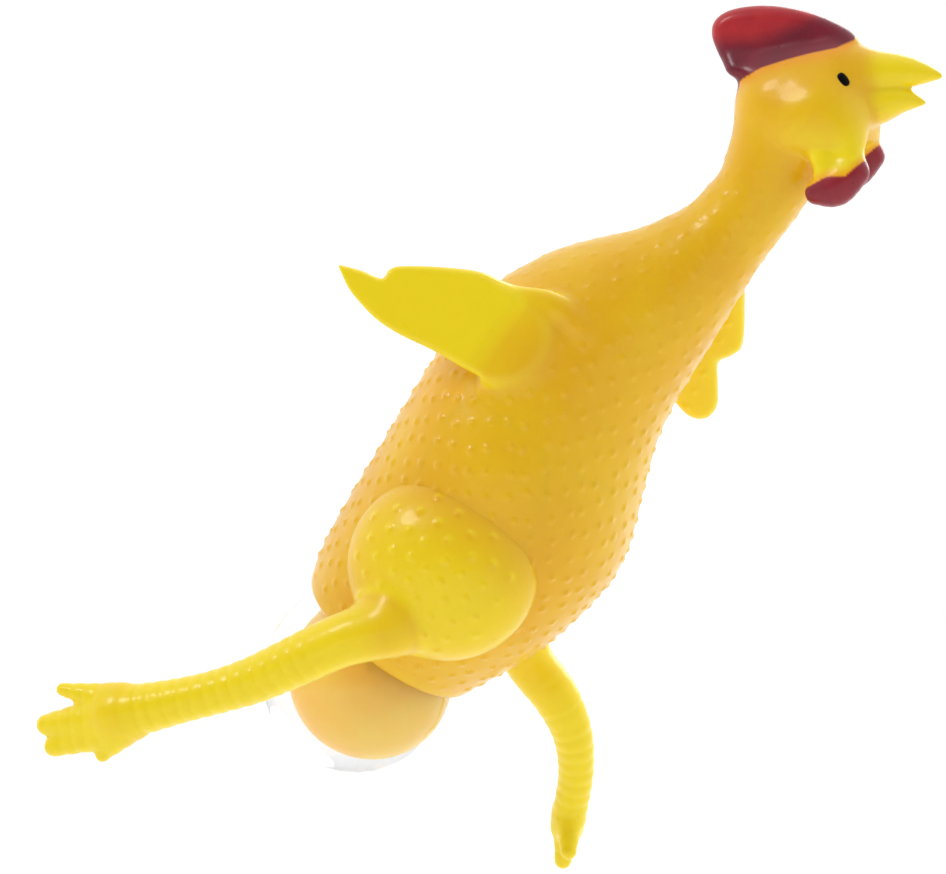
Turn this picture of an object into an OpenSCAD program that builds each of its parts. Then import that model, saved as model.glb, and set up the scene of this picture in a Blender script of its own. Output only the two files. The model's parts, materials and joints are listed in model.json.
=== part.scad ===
// Squeeze toy: a rubber chicken that lays and swallows a water egg.
// Row frame: +X towards the beak, +Y to the bird's left, +Z up; origin on the
// torso's long axis, in the middle of the hand's grip.

/* [Torso] */
// Lean of the torso's long axis from vertical, towards the beak
tilt = 38; // [30:1:46]
// Widest radius of the body
body_r = 24.2; // [23.8:0.1:25]
// Radius of the vent's lip
vent_r = 16.4; // [16.2:0.1:16.8]
// Distance from the grip down to the vent's lip
vent_s = 33.5; // [32:0.5:35]
// Thickness of the body's skin
skin = 2.2; // [1.8:0.1:2.4]

/* [Squeezed flanks] */
// Radius of each pressed patch
flank_r = 11.7; // [10:0.1:11.8]
// How far a patch is pressed in while the egg is out
flank_push = 2.8; // [1:0.1:3]

/* [Egg] */
// Radius of the clear bubble
bubble_r = 17.5; // [17:0.1:18]
// Thickness of the clear bag
bag_wall = 0.5; // [0.4:0.1:0.7]
// Radius of the yolk ball
yolk_r = 11.8; // [10:0.1:12]

/* [Neck and head] */
// Radius of the neck where it leaves the shoulders
neck_base_r = 12.4; // [12:0.1:12.6]
// Radius of the neck half way up
neck_mid_r = 8; // [7.5:0.1:8.2]
// Radius of the neck under the head
neck_top_r = 8.3; // [8:0.1:8.5]
// Half the thickness of the comb
comb_t = 2.8; // [2.2:0.1:3.2]
// Radius of each eye
eye_r = 1.2; // [1:0.1:1.4]

/* [Wings] */
// Half the thickness of a wing
wing_t = 1.5; // [1.2:0.1:1.8]

/* [Legs] */
// Radius of the thigh's pad
thigh_r = 10.3; // [9.5:0.1:10.4]
// Radius of the leg at the hock
hock_r = 4.9; // [4.5:0.1:5.1]
// Radius of the leg at the ankle
ankle_r = 3.6; // [3.3:0.1:3.8]

/* [Hidden] */
$fn = 64;

YELLOW = [0.93, 0.75, 0.10];
RED = [0.66, 0.13, 0.18];
CLEAR = [0.93, 0.96, 0.97, 0.35];
gap = 0.3;
big = 80;

// Torso outline, from the vent up to the shoulders: [station along the axis, radius].
torso_outline = [[-vent_s, vent_r], [-22, body_r - 3.6], [-11, body_r - 1.2], [0, body_r],
                 [11, body_r - 1.2], [22, body_r - 3.8], [33, body_r - 6.2], [44, body_r - 8.8],
                 [50, body_r - 11.6]];
lip = 0.9;
curve_steps = 3;
cavity_top = 24;
cavity_dome = 11;
bag_bottom = -28;
bag_top = 21;
bag_dome = 10.5;
bag_max_r = 16.2;
plug_r = 3;
plug_s = [29.6, 33.6];
water_s = 4;
bubble_s = -vent_s - 8;
yolk_s = -39;
flank_at = [1, 7];

// Hips: the thigh's axis crosses the body here, [x, z]; its pad starts at hip_y.
hip_at = [-2.5, -17];
hip_y = 23.6;
thigh_h = 4.6;
thigh_crown = 14.2;
boss_r = 6;

function axis_pt(s, x = 0, y = 0) =
    [x * cos(tilt) + s * sin(tilt), y, s * cos(tilt) - x * sin(tilt)];
function unit(v) = v / norm(v);
function knot(p, i) = p[min(max(i, 0), len(p) - 1)];
function spline(a, b, c, d, t) =
    0.5 * (2 * b + (c - a) * t + (2 * a - 5 * b + 4 * c - d) * t * t + (3 * b - 3 * c + d - a) * t * t * t);
function smooth(p, n) =
    concat([for (i = [0 : len(p) - 2]) for (k = [0 : n - 1])
            spline(knot(p, i - 1), knot(p, i), knot(p, i + 1), knot(p, i + 2), k / n)],
           [p[len(p) - 1]]);
function wall(s) = s > -22 ? skin : lip + (skin - lip) * (s + vent_s) / (vent_s - 22);
function dome(r, from, length, n) =
    [for (k = [1 : n]) [from + length * sin(90 * k / n), k == n ? 0 : r * cos(90 * k / n)]];

skin_line = smooth(torso_outline, curve_steps);
under_skin = [for (p = skin_line) if (p[0] < cavity_top) [p[0], p[1] - wall(p[0])]];
cavity_line = concat(under_skin, dome(under_skin[len(under_skin) - 1][1], cavity_top, cavity_dome, 5));
bag_side = [for (p = under_skin) if (p[0] > bag_bottom && p[0] < bag_top)
            [p[0], min(bag_max_r, p[1] - 0.5)]];
bag_line = concat([[bag_bottom, vent_r - 1.3]], bag_side,
                  dome(bag_side[len(bag_side) - 1][1], bag_top, bag_dome, 5));

neck_1 = axis_pt(50);
neck_2 = [43, 0, 49.2];
neck_3 = [50.8, 0, 62];
dir_1 = unit(neck_2 - neck_1);
dir_2 = unit(neck_3 - neck_2);
dir_3 = unit([3, 0, 9]);

// Head: overlapping balls that hull() rounds into a skull, [centre, radius].
skull = [[[53.3, 0, 70.3], 9.2], [[58.5, 0, 71.8], 8.4], [[63.2, 0, 74], 6.4]];
beak_x = 67;
eye_at = [63.8, 6.3, 74.4];
comb_hinge_z = 81.3;
comb_flop = 15;

// Legs: [hock, joints down the shank, ankle] and toe tips.
hock_right = [-19.5, -26.9, -23.2];
shank_right_path = [hock_right, [-31, -26.9, -27.4], [-42, -26.8, -32.2], [-52, -26.8, -34.9],
                    [-61.5, -26.8, -36.6]];
toes_right = [[-72.8, -27, -34.2], [-77.4, -27, -40], [-75.6, -27, -44.6], [-66.6, -27, -44.6]];
hock_left = [-3, 26.9, -34];
shank_left_path = [hock_left, [2, 28.4, -39.6], [4.4, 31.6, -47], [4.4, 35.4, -55],
                   [3.2, 39.4, -63]];
toes_left = [[4.4, 35.4, -72], [1.8, 40.4, -74.8], [0.2, 45.4, -73.6], [-1.2, 48, -65.6]];

// Places a turned shape so that its axis lies along the torso's.
module along_body() {
    rotate([0, tilt, 0])
        children();
}

// A body of revolution about the torso's axis, from [station, radius] points.
module turned(line) {
    along_body()
        rotate_extrude()
            polygon(concat([[0, line[0][0]]], [for (p = line) [p[1], p[0]]],
                           line[len(line) - 1][1] > 0 ? [[0, line[len(line) - 1][0]]] : []));
}

module ball(p, r) {
    translate(p)
        sphere(r);
}

// Moves the origin to p and turns +Z towards d.
module aimed(p, d) {
    translate(p)
        rotate([0, acos(d[2] / norm(d)), atan2(d[1], d[0])])
            children();
}

// A cone frustum from p to q.
module bone(p, q, r1, r2) {
    aimed(p, q - p)
        cylinder(h = norm(q - p), r1 = r1, r2 = r2);
}

// Everything past p in direction d.
module past(p, d) {
    aimed(p, d)
        translate([-big, -big, 0])
            cube(2 * big);
}

// The open cup in a limb's end: room for the next piece's ball, and its swing.
module cup(p, d, r, swing) {
    aimed(p, d)
        sphere(r + gap);
    past(p - d * r * sin(swing), d);
}

module flank_column(r) {
    translate(axis_pt(flank_at[1], flank_at[0]))
        rotate([-90, 0, 0])
            translate([0, 0, -big / 2])
                cylinder(h = big, r = r);
}

module side_half(side) {
    translate([-big, side > 0 ? 0 : -big, -big])
        cube([2 * big, big, 2 * big]);
}

module torso_shell() {
    color(YELLOW)
        difference() {
            union() {
                turned(skin_line);
                for (side = [-1, 1])
                    bone([hip_at[0], 0, hip_at[1]], [hip_at[0], side * (hip_y - gap), hip_at[1]],
                         boss_r, boss_r);
            }
            turned(cavity_line);
            flank_column(flank_r + gap);
            cup(neck_1, dir_1, neck_base_r, 33);
        }
}

module flank(side) {
    color(YELLOW)
        translate([0, -side * flank_push, 0])
            intersection() {
                difference() {
                    turned(skin_line);
                    turned(cavity_line);
                }
                flank_column(flank_r);
                side_half(side);
            }
}

module bladder() {
    color(CLEAR)
        difference() {
            turned(bag_line);
            turned([for (p = bag_line) [p[0] - (p[1] == 0 ? bag_wall : 0), max(0, p[1] - bag_wall)]]);
            bone(axis_pt(plug_s[0] - 4), axis_pt(plug_s[1]), plug_r, plug_r);
        }
}

module bladder_plug() {
    color(CLEAR)
        bone(axis_pt(plug_s[0]), axis_pt(plug_s[1]), plug_r, plug_r - 0.6);
}

module water_fill() {
    level = [for (p = bag_line) if (p[0] > water_s) [p[0] - (p[1] == 0 ? 2 : 0), max(0, p[1] - bag_wall - 0.05)]];
    color([0.85, 0.92, 0.95, 0.4])
        difference() {
            turned(level);
            bone(axis_pt(plug_s[0] - 1), axis_pt(plug_s[1]), big, big);
        }
}

// The bulge outside the vent, as a ball cut flat at the lip.
module bulge(r) {
    intersection() {
        ball(axis_pt(bubble_s), r);
        past(axis_pt(-vent_s), -axis_pt(1));
    }
}

module egg_bubble() {
    cuff_r = vent_r - lip - 0.1;
    color(CLEAR)
        difference() {
            union() {
                bulge(bubble_r);
                bone(axis_pt(-vent_s), axis_pt(bag_bottom - 0.4), cuff_r, cuff_r);
            }
            bulge(bubble_r - bag_wall);
            bone(axis_pt(-vent_s - 1), axis_pt(bag_bottom), cuff_r - bag_wall, cuff_r - bag_wall);
        }
}

module egg_white() {
    color([0.96, 0.97, 0.95, 0.3])
        difference() {
            bulge(bubble_r - bag_wall - 0.05);
            ball(axis_pt(yolk_s), yolk_r + 0.05);
        }
}

module yolk_ball() {
    color([0.96, 0.66, 0.22])
        ball(axis_pt(yolk_s), yolk_r);
}

module neck_lower() {
    color(YELLOW)
        difference() {
            union() {
                ball(neck_1, neck_base_r);
                bone(neck_1, neck_2, neck_base_r - 0.2, neck_mid_r);
            }
            cup(neck_2, dir_2, neck_mid_r, 33);
        }
}

module neck_upper() {
    color(YELLOW)
        difference() {
            union() {
                ball(neck_2, neck_mid_r);
                bone(neck_2, neck_3, neck_mid_r - 0.1, neck_top_r + 0.3);
            }
            cup(neck_3, dir_3, neck_top_r, 33);
        }
}

module skull(grow = 0) {
    hull()
        for (b = skull)
            translate(b[0])
                sphere(b[1] + grow, $fn = 32);
}

module head() {
    color(YELLOW)
        difference() {
            union() {
                ball(neck_3, neck_top_r);
                bone(neck_3, skull[0][0], neck_top_r - 0.1, neck_top_r);
                skull();
            }
            past([beak_x, 0, skull[2][0][2]], [1, 0, 0]);
            for (side = [-1, 1])
                ball([eye_at[0], side * eye_at[1], eye_at[2]], eye_r + 0.02);
        }
}

module eye(side) {
    color([0.05, 0.04, 0.04])
        ball([eye_at[0], side * (eye_at[1] - 0.2), eye_at[2]], eye_r - 0.25);
}

// A beak half: a rounded wedge from the face to its tip.
module beak(root_z, root_r, mid, mid_r, tip) {
    color(YELLOW)
        difference() {
            hull() {
                translate([beak_x, 0, root_z])
                    rotate([0, 90, 0])
                        cylinder(h = 0.2, r = root_r, $fn = 32);
                translate(mid)
                    sphere(mid_r, $fn = 24);
                translate(tip)
                    sphere(0.7, $fn = 24);
            }
            children();
        }
}

module upper_beak() {
    beak(75.2, 4.2, [72.4, 0, 75.6], 2.7, [78.8, 0, 74.8])
        past([beak_x, 0, 72.95], [0.1, 0, -1]);
}

module lower_beak() {
    beak(71.6, 2.6, [71.5, 0, 71.6], 2.1, [75.4, 0, 71.4])
        past([beak_x, 0, 72.9], [0.05, 0, 1]);
}

module comb() {
    lobes = [[45.2, 79.4, comb_t], [43.4, 82.8, comb_t + 0.6], [49.5, 83.6, comb_t + 0.5],
             [57, 82.8, comb_t], [62.6, 81.6, comb_t - 0.9]];
    color(RED)
        difference() {
            hull()
                for (b = lobes)
                    translate([b[0], 0, b[1]])
                        sphere(b[2], $fn = 32);
            for (lean = [-comb_flop, 0, comb_flop])
                translate([0, 0, comb_hinge_z])
                    rotate([lean, 0, 0])
                        translate([0, 0, -comb_hinge_z])
                            skull(0.35);
        }
}

module wattle(side) {
    lobes = [[66.2, 4.4, 62.6, 1.6], [64.6, 6.6, 57.6, 3.1], [60.4, 7.2, 55.6, 2.5]];
    color(RED)
        hull()
            for (b = lobes)
                translate([b[0], side * b[1], b[2]])
                    sphere(b[3], $fn = 24);
}

// A wing panel: rounded plates between marked points.
module panel(points, r = wing_t) {
    hull()
        for (p = points)
            translate(p)
                sphere(r, $fn = 20);
}

// The right wing is folded back over the flank.
module wing_right() {
    root = [[14.6, -16, 37.6], [6.6, -19.6, 24.8]];
    inner = [[5.4, -19, 41.2], [-3.4, -21.2, 30.4]];
    color(YELLOW) {
        panel(concat(root, inner));
        panel(concat(inner, [[-10.4, -22.6, 41.8]], [[-12, -22.6, 33.6]]));
        panel([[-8, -22.4, 38.5], [-12, -22.6, 33.6], [-19.8, -23.6, 41.6]]);
    }
}

// The left wing is pushed open, round the breast.
module wing_left() {
    root = [[23.2, 16.6, 38.2], [17.4, 20.4, 26]];
    elbow = [[36.4, 29.6, 38.4], [25.4, 28.4, 24.6]];
    color(YELLOW) {
        panel(concat(root, elbow));
        panel(concat(elbow, [[36.2, 33, 27.2]], [[27.4, 31.4, 20.4]]));
        panel([[32.6, 31.8, 25], [27.4, 31.4, 20.4], [29.4, 33.4, 14.2]]);
    }
}

// The thigh's pad turns on the hip, and its arm holds the cup for the shank's ball.
module thigh(side, path) {
    hock = path[0];
    ankleward = path[1];
    hip = [hip_at[0], side * hip_y, hip_at[1]];
    knee = hip + [0, side * (thigh_h - 1), 0];
    color(YELLOW)
        difference() {
            union() {
                intersection() {
                    bone(hip, hip + [0, side * 10, 0], thigh_r, thigh_r);
                    ball(hip + [0, side * (thigh_h - thigh_crown), 0], thigh_crown);
                }
                bone(knee, hock, 2.4, hock_r + 0.5);
            }
            cup(hock, unit(unit(hock - knee) + unit(ankleward - hock)), hock_r, 55);
        }
}

// A tube through rings of [centre, radius, direction].
module swept(rings, sides) {
    n = len(rings);
    function across(d) = unit(cross(d, [0, 1, 0]));
    points = [for (g = rings) for (k = [0 : sides - 1])
              g[0] + g[1] * (across(g[2]) * cos(360 * k / sides)
                             + cross(g[2], across(g[2])) * sin(360 * k / sides))];
    walls = [for (i = [0 : n - 2]) for (k = [0 : sides - 1])
             [i * sides + k, (i + 1) * sides + k, (i + 1) * sides + (k + 1) % sides,
              i * sides + (k + 1) % sides]];
    lids = [[for (k = [0 : sides - 1]) k], [for (k = [0 : sides - 1]) n * sides - 1 - k]];
    polyhedron(points, concat(walls, lids));
}

// The shank: one tube swept down its path, rounded at the hock like a ball.
module shank(path) {
    line = smooth(path, 2);
    last = len(line) - 1;
    start = unit(line[1] - line[0]);
    end = unit(line[last] - line[last - 1]);
    rings = concat(
        [for (a = [75 : -15 : 15]) [line[0] - start * hock_r * sin(a), hock_r * cos(a), start]],
        [for (i = [0 : last])
         [line[i], hock_r + (ankle_r + gap - hock_r) * i / last,
          unit(line[min(i + 1, last)] - line[max(i - 1, 0)])]]);
    color(YELLOW)
        difference() {
            swept(rings, 20);
            cup(path[len(path) - 1], end, ankle_r, 33);
        }
}

module foot(ankle, toes) {
    palm = ankle + ((toes[0] + toes[1] + toes[2]) / 3 - ankle) * 0.45;
    color(YELLOW) {
        hull() {
            translate(ankle)
                sphere(ankle_r, $fn = 32);
            translate(palm)
                sphere(2.5, $fn = 20);
        }
        for (i = [0 : 3])
            hull() {
                translate(i == 3 ? ankle + (palm - ankle) * 0.5 : palm)
                    sphere(2.3, $fn = 20);
                translate(toes[i])
                    sphere(1.5, $fn = 16);
            }
    }
}

torso_shell();
flank(1);  // flank_left
flank(-1);  // flank_right
bladder();
bladder_plug();
water_fill();
egg_bubble();
egg_white();
yolk_ball();
neck_lower();
neck_upper();
head();
upper_beak();
lower_beak();
comb();
wattle(1);  // wattle_left
wattle(-1);  // wattle_right
eye(1);  // eye_left
eye(-1);  // eye_right
wing_left();
wing_right();
thigh(1, shank_left_path);  // thigh_left
thigh(-1, shank_right_path);  // thigh_right
shank(shank_left_path);  // shank_left
shank(shank_right_path);  // shank_right
foot(shank_left_path[len(shank_left_path) - 1], toes_left);  // foot_left
foot(shank_right_path[len(shank_right_path) - 1], toes_right);  // foot_right
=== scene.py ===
import json
import math

import bmesh
import bpy
import numpy as np
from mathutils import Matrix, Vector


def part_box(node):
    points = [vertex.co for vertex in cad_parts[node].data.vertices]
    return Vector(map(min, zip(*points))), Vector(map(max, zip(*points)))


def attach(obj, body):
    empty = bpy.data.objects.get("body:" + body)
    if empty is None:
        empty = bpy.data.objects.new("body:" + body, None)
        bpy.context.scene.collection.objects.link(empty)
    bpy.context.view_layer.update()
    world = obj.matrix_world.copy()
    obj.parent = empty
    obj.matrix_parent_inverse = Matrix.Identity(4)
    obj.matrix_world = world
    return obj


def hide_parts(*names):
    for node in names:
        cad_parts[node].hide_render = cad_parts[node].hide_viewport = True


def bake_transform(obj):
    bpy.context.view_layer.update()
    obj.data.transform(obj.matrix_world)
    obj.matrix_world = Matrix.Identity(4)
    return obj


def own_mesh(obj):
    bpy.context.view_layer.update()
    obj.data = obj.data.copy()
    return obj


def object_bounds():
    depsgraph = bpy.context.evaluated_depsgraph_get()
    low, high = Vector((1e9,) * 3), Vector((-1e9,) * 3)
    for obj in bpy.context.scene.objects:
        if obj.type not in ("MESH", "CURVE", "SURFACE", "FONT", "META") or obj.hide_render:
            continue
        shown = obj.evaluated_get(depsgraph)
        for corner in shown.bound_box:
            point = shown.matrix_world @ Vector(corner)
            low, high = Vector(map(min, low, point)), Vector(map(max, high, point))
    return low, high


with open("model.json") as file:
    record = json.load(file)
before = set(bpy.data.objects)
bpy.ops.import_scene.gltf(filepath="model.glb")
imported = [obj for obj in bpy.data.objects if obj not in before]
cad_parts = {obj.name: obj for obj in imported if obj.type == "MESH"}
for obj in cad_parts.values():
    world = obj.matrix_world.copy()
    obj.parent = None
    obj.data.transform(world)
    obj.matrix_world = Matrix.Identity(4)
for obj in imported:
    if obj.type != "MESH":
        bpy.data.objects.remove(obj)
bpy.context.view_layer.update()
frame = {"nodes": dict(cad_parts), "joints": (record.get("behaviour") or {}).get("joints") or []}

import openvdb
from mathutils import Vector

# The bird's yellow skin is one moulding, so it is made as one distance field, in millimetres in the
# row frame: negative inside, positive outside. The field is meshed on a fine grid, then cut into the
# pieces that flex. Cuts of the moulding keep the field's own normals, so they don't show.

MM = 0.001
FAR = 1e3
VOXEL = 0.42
BLOCK = 8
GOLDEN_ANGLE = math.pi * (3 - math.sqrt(5))
SIDES = {"right": -1, "left": 1}

joints = {joint["name"]: joint for joint in frame["joints"]}


def hinge_at(name):
    """A hinge's place in the row frame, in mm."""
    return np.array(joints[name]["pos_m"]) / MM


def node_box(name):
    """A CAD node's lowest and highest corners, in mm."""
    low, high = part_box(name)
    return np.array(low) / MM, np.array(high) / MM


# The torso's own axes: `along` runs from the vent to the neck, `ventral` towards the breast.
along = np.array(joints["yolk_travel"]["axis"])
ventral = np.array([along[2], 0.0, -along[0]])
side_axis = np.array([0.0, 1.0, 0.0])


def torso_point(x, y, s):
    """The row-frame place of a point given as ventral, sideways and along."""
    return x * ventral + y * side_axis + s * along


# ---------------------------------------------------------------- distance fields


def smooth_min(a, b, k):
    """The lesser of two fields, melted together where they differ by less than k."""
    h = np.clip(0.5 + 0.5 * (b - a) / k, 0, 1)
    return b + (a - b) * h - k * h * (1 - h)


def smooth_max(a, b, k):
    return -smooth_min(-a, -b, k)


def smoothstep(t):
    t = np.clip(t, 0, 1)
    return t * t * (3 - 2 * t)


def ball(p, centre, radius):
    return np.linalg.norm(p - centre, axis=1) - radius


def ellipsoid(p, centre, radii):
    q = p - centre
    k0 = np.linalg.norm(q / radii, axis=1)
    k1 = np.linalg.norm(q / np.square(radii), axis=1) + 1e-9
    return k0 * (k0 - 1) / k1


def curve(points, per=6, closed=False):
    """A Catmull-Rom curve through the points. Extra columns, such as a radius, are carried along."""
    pts = np.array(points, float)
    if closed:
        pts = np.vstack([pts[-1:], pts, pts[:2]])
    else:
        pts = np.vstack([2 * pts[0] - pts[1], pts, 2 * pts[-1] - pts[-2]])
    t = np.linspace(0, 1, per, endpoint=False)[:, None]
    out = []
    for a, b, c, d in zip(pts, pts[1:], pts[2:], pts[3:]):
        out.append(0.5 * (2 * b + (c - a) * t + (2 * a - 5 * b + 4 * c - d) * t**2
                          + (3 * b - a - 3 * c + d) * t**3))
    out = np.vstack(out)
    return out if closed else np.vstack([out, pts[-2]])


def tube(p, path):
    """Distance to a tapered tube, and how far along it each point lies. Path rows are x, y, z, radius."""
    best = np.full(len(p), FAR)
    reach = np.zeros(len(p))
    start = 0.0
    for a, b in zip(path, path[1:]):
        step = b[:3] - a[:3]
        length = np.linalg.norm(step)
        t = np.clip((p - a[:3]) @ step / length**2, 0, 1)
        d = np.linalg.norm(p - a[:3] - t[:, None] * step, axis=1) - (a[3] + t * (b[3] - a[3]))
        closer = d < best
        best = np.where(closer, d, best)
        reach = np.where(closer, start + t * length, reach)
        start += length
    return best, reach


def outline_distance(x, z, outline):
    """Signed distance in a plane to a closed outline, negative inside."""
    nearest = np.full(len(x), FAR**2)
    inside = np.zeros(len(x), bool)
    for (ax, az), (bx, bz) in zip(outline, np.roll(outline, -1, 0)):
        ex, ez = bx - ax, bz - az
        wx, wz = x - ax, z - az
        t = np.clip((wx * ex + wz * ez) / (ex * ex + ez * ez), 0, 1)
        nearest = np.minimum(nearest, (wx - ex * t) ** 2 + (wz - ez * t) ** 2)
        if az != bz:
            inside ^= ((az > z) != (bz > z)) & (wx < ex * wz / ez)
    return np.where(inside, -1, 1) * np.sqrt(nearest)


def plate(across, edge, half, rim):
    """A plate with rounded edges, from the distance to its middle sheet and to its outline."""
    over_edge = edge + rim
    over_face = np.abs(across) - (half - rim)
    return (np.minimum(np.maximum(over_edge, over_face), 0)
            + np.hypot(np.maximum(over_edge, 0), np.maximum(over_face, 0)) - rim)


def only_near(shape, low, high, pad=9.0):
    """The shape's field, worked out only for points near its box, and far away elsewhere."""

    def field(p):
        d = np.full(len(p), FAR)
        inside = np.all((p > np.array(low) - pad) & (p < np.array(high) + pad), axis=1)
        if inside.any():
            d[inside] = shape(p[inside])
        return d

    return field


# ---------------------------------------------------------------- torso and neck

# Along the torso's axis from the vent: distance, reach to the back, reach to the breast, half width.
TRUNK = np.array([
    [-36.0, 16.7, 16.4, 16.3],
    [-33.5, 17.4, 16.9, 16.8],
    [-30.0, 18.9, 18.2, 18.2],
    [-24.0, 20.2, 20.7, 20.4],
    [-16.0, 21.2, 23.5, 21.9],
    [-6.0, 22.2, 25.2, 22.3],
    [2.0, 23.0, 25.6, 23.2],
    [7.0, 23.5, 24.6, 23.6],
    [12.0, 23.9, 22.6, 23.3],
    [18.0, 24.2, 19.8, 21.8],
    [27.0, 24.0, 16.2, 19.2],
    [33.5, 22.8, 14.8, 17.6],
    [42.0, 18.9, 13.9, 15.2],
    [47.5, 14.9, 13.4, 13.2],
    [54.8, 8.8, 12.5, 10.4],
    [63.4, 4.3, 11.7, 8.2],
    [71.8, 3.5, 11.7, 7.8],
    [78.4, 6.2, 11.4, 8.1],
    [85.4, 9.8, 11.1, 8.4],
    [93.0, 9.4, 11.0, 8.0],
])
# The rows are joined by straight lines, then rounded by a running average.
TRUNK_STEP = 0.25
TRUNK_AVERAGED = 27
trunk_s = np.arange(TRUNK[0, 0] - 4, TRUNK[-1, 0] + 4, TRUNK_STEP)
fade = np.hanning(TRUNK_AVERAGED)
trunk_rows = [np.interp(trunk_s, TRUNK[:, 0], TRUNK[:, i]) for i in (1, 2, 3)]
trunk_back, trunk_front, trunk_half = [
    np.convolve(np.pad(row, len(fade) // 2, mode="edge"), fade / fade.sum(), mode="valid")
    for row in trunk_rows
]
trunk_slope = np.gradient((trunk_back + trunk_front) / 2, trunk_s)

LIP_S = -33.5
NECK_END_S = 90.0
MOUTH_R = 15.5
BAG_R = 16.5
WALL = 2.4


def trunk_at(s, shrink=0.0, cap=FAR):
    """The trunk's middle (ventral), its depth radius and its half width at a distance along.

    All are shrunk by a wall, and the radii are held within a cap."""
    back = np.interp(s, trunk_s, trunk_back) - shrink
    front = np.interp(s, trunk_s, trunk_front) - shrink
    depth = np.minimum((back + front) / 2, cap)
    half = np.minimum(np.interp(s, trunk_s, trunk_half) - shrink, cap)
    return np.clip(0.0, depth - back, front - depth), depth, half


def trunk_radial(p, shrink=0.0, cap=FAR):
    """Distance to the trunk's side, shrunk by a wall and held within a largest radius."""
    s = p @ along
    middle, depth, half = trunk_at(s, shrink, cap)
    x = p @ ventral - middle
    y = p[:, 1]
    off = np.hypot(x, y) + 1e-6
    share = np.sqrt((x / depth) ** 2 + (y / half) ** 2) + 1e-6
    slope = np.interp(s, trunk_s, trunk_slope)
    return off * (1 - 1 / share) / np.sqrt(1 + slope**2)


def trunk(p):
    s = p @ along
    side = trunk_radial(p)
    return smooth_max(smooth_max(side, LIP_S - s, 1.4), s - NECK_END_S, 6.0)


def bag_space(p):
    """The hollow inside the torso, open at the vent."""
    s = p @ along
    room = trunk_radial(p, WALL, BAG_R)
    mouth = np.hypot(p @ ventral, p[:, 1]) - MOUTH_R
    room = np.where(s < LIP_S + 3, mouth + (room - mouth) * smoothstep((s - LIP_S) / 3), room)
    return smooth_max(room, s - hinge_at("neck_bend") @ along + 7, 4.0)


# ---------------------------------------------------------------- head

SKULL = [
    ((54.4, 0, 70.6), (9.8, 8.6, 8.8)),
    ((60.6, 0, 72.6), (8.0, 7.4, 7.4)),
]
CHEEKS = [((60.4, 4.2, 69.6), 5.4), ((62.6, 4.0, 67.0), 4.4), ((56.4, 4.6, 63.8), 3.4)]
BEAK_UPPER = curve([
    [63.0, 0, 75.4, 5.6],
    [67.8, 0, 75.3, 4.1],
    [72.8, 0, 75.5, 2.9],
    [76.4, 0, 75.2, 1.7],
    [79.0, 0, 74.8, 0.6],
], per=4)
BEAK_LOWER = curve([
    [63.0, 0, 70.8, 4.9],
    [67.6, 0, 70.2, 3.9],
    [71.8, 0, 70.9, 2.6],
    [74.4, 0, 70.6, 1.4],
    [76.3, 0, 70.3, 0.5],
], per=4)


def mirrored(p):
    """The points with the far side folded onto the near side."""
    return np.column_stack([p[:, 0], np.abs(p[:, 1]), p[:, 2]])


def beak(p):
    wide = p * [1, 0.86, 1]
    upper = tube(wide, BEAK_UPPER)[0]
    lower = tube(wide, BEAK_LOWER)[0]
    return smooth_min(upper, lower, 0.5)


def skull(p):
    d = smooth_min(*[ellipsoid(p, np.array(c), np.array(r)) for c, r in SKULL], 4.0)
    folded = mirrored(p)
    for centre, radius in CHEEKS:
        d = smooth_min(d, ball(folded, np.array(centre), radius), 3.0)
    return smooth_min(d, beak(p), 2.2)


COMB_OUTLINE = curve([
    [44.6, 74.6], [41.6, 77.6], [39.6, 81.6], [40.0, 84.6], [43.0, 86.5], [48.6, 87.1],
    [54.8, 86.3], [60.6, 84.3], [64.6, 81.6], [63.0, 78.0], [55.0, 75.0],
], per=4, closed=True)
COMB_HALF = 2.9
COMB_RIM = 2.3
COMB_FLARE = 2.2
COMB_FLARE_Z = 80.5
COMB_FLARE_DROP = 6


def comb(p):
    """A rounded plate that flares where it stands on the head."""
    edge = outline_distance(p[:, 0], p[:, 2], COMB_OUTLINE)
    flare = COMB_FLARE * smoothstep((COMB_FLARE_Z - p[:, 2]) / COMB_FLARE_DROP)
    return plate(p[:, 1], edge, COMB_HALF + flare, COMB_RIM)


# A wattle's lobe hangs in front of the throat: yellow above, painted below. Rows are x, y, z, radius.
JOWL = [
    [59.8, 5.4, 68.0, 4.4], [63.4, 6.0, 64.4, 3.6],
    [65.0, 7.2, 61.0, 2.6], [64.6, 8.0, 58.0, 2.5],
]
CHEEK_FOLD = [
    [56.6, 5.6, 67.0, 3.6], [59.4, 7.2, 63.0, 2.4],
    [60.8, 8.2, 60.0, 1.9], [61.4, 8.2, 57.4, 2.0],
]
LOBE = [[66.4, 8.0, 58.4, 2.3], [63.2, 8.2, 55.6, 2.9], [59.8, 8.0, 55.0, 2.1]]
WATTLE_CUT_Z = {"right": 59.9, "left": 61.2}
WATTLE_SHIFT = {"right": (0.0, 0.0, 0.0), "left": (-0.4, 0.4, 2.8)}


def wattle(p, side):
    q = mirrored(p) - WATTLE_SHIFT[side]
    stem = smooth_min(tube(q, curve(JOWL, per=4))[0], tube(q, curve(CHEEK_FOLD, per=4))[0], 2.5)
    lobe = tube(q, curve(LOBE, per=4))[0]
    d = smooth_min(stem, lobe, 1.6)
    other_side = p[:, 1] * SIDES[side] < 0
    return np.where(other_side, FAR, d)


# ---------------------------------------------------------------- wings

# Each wing is a bent plate, given by its outline seen from the side, in row x and z. Its middle
# sheet leaves the body at the hinge line and drifts sideways with the distance from it.
WING_THINNING = 0.45
WING_THINNED_AT = 30
WING_RIM = 1.5


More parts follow.
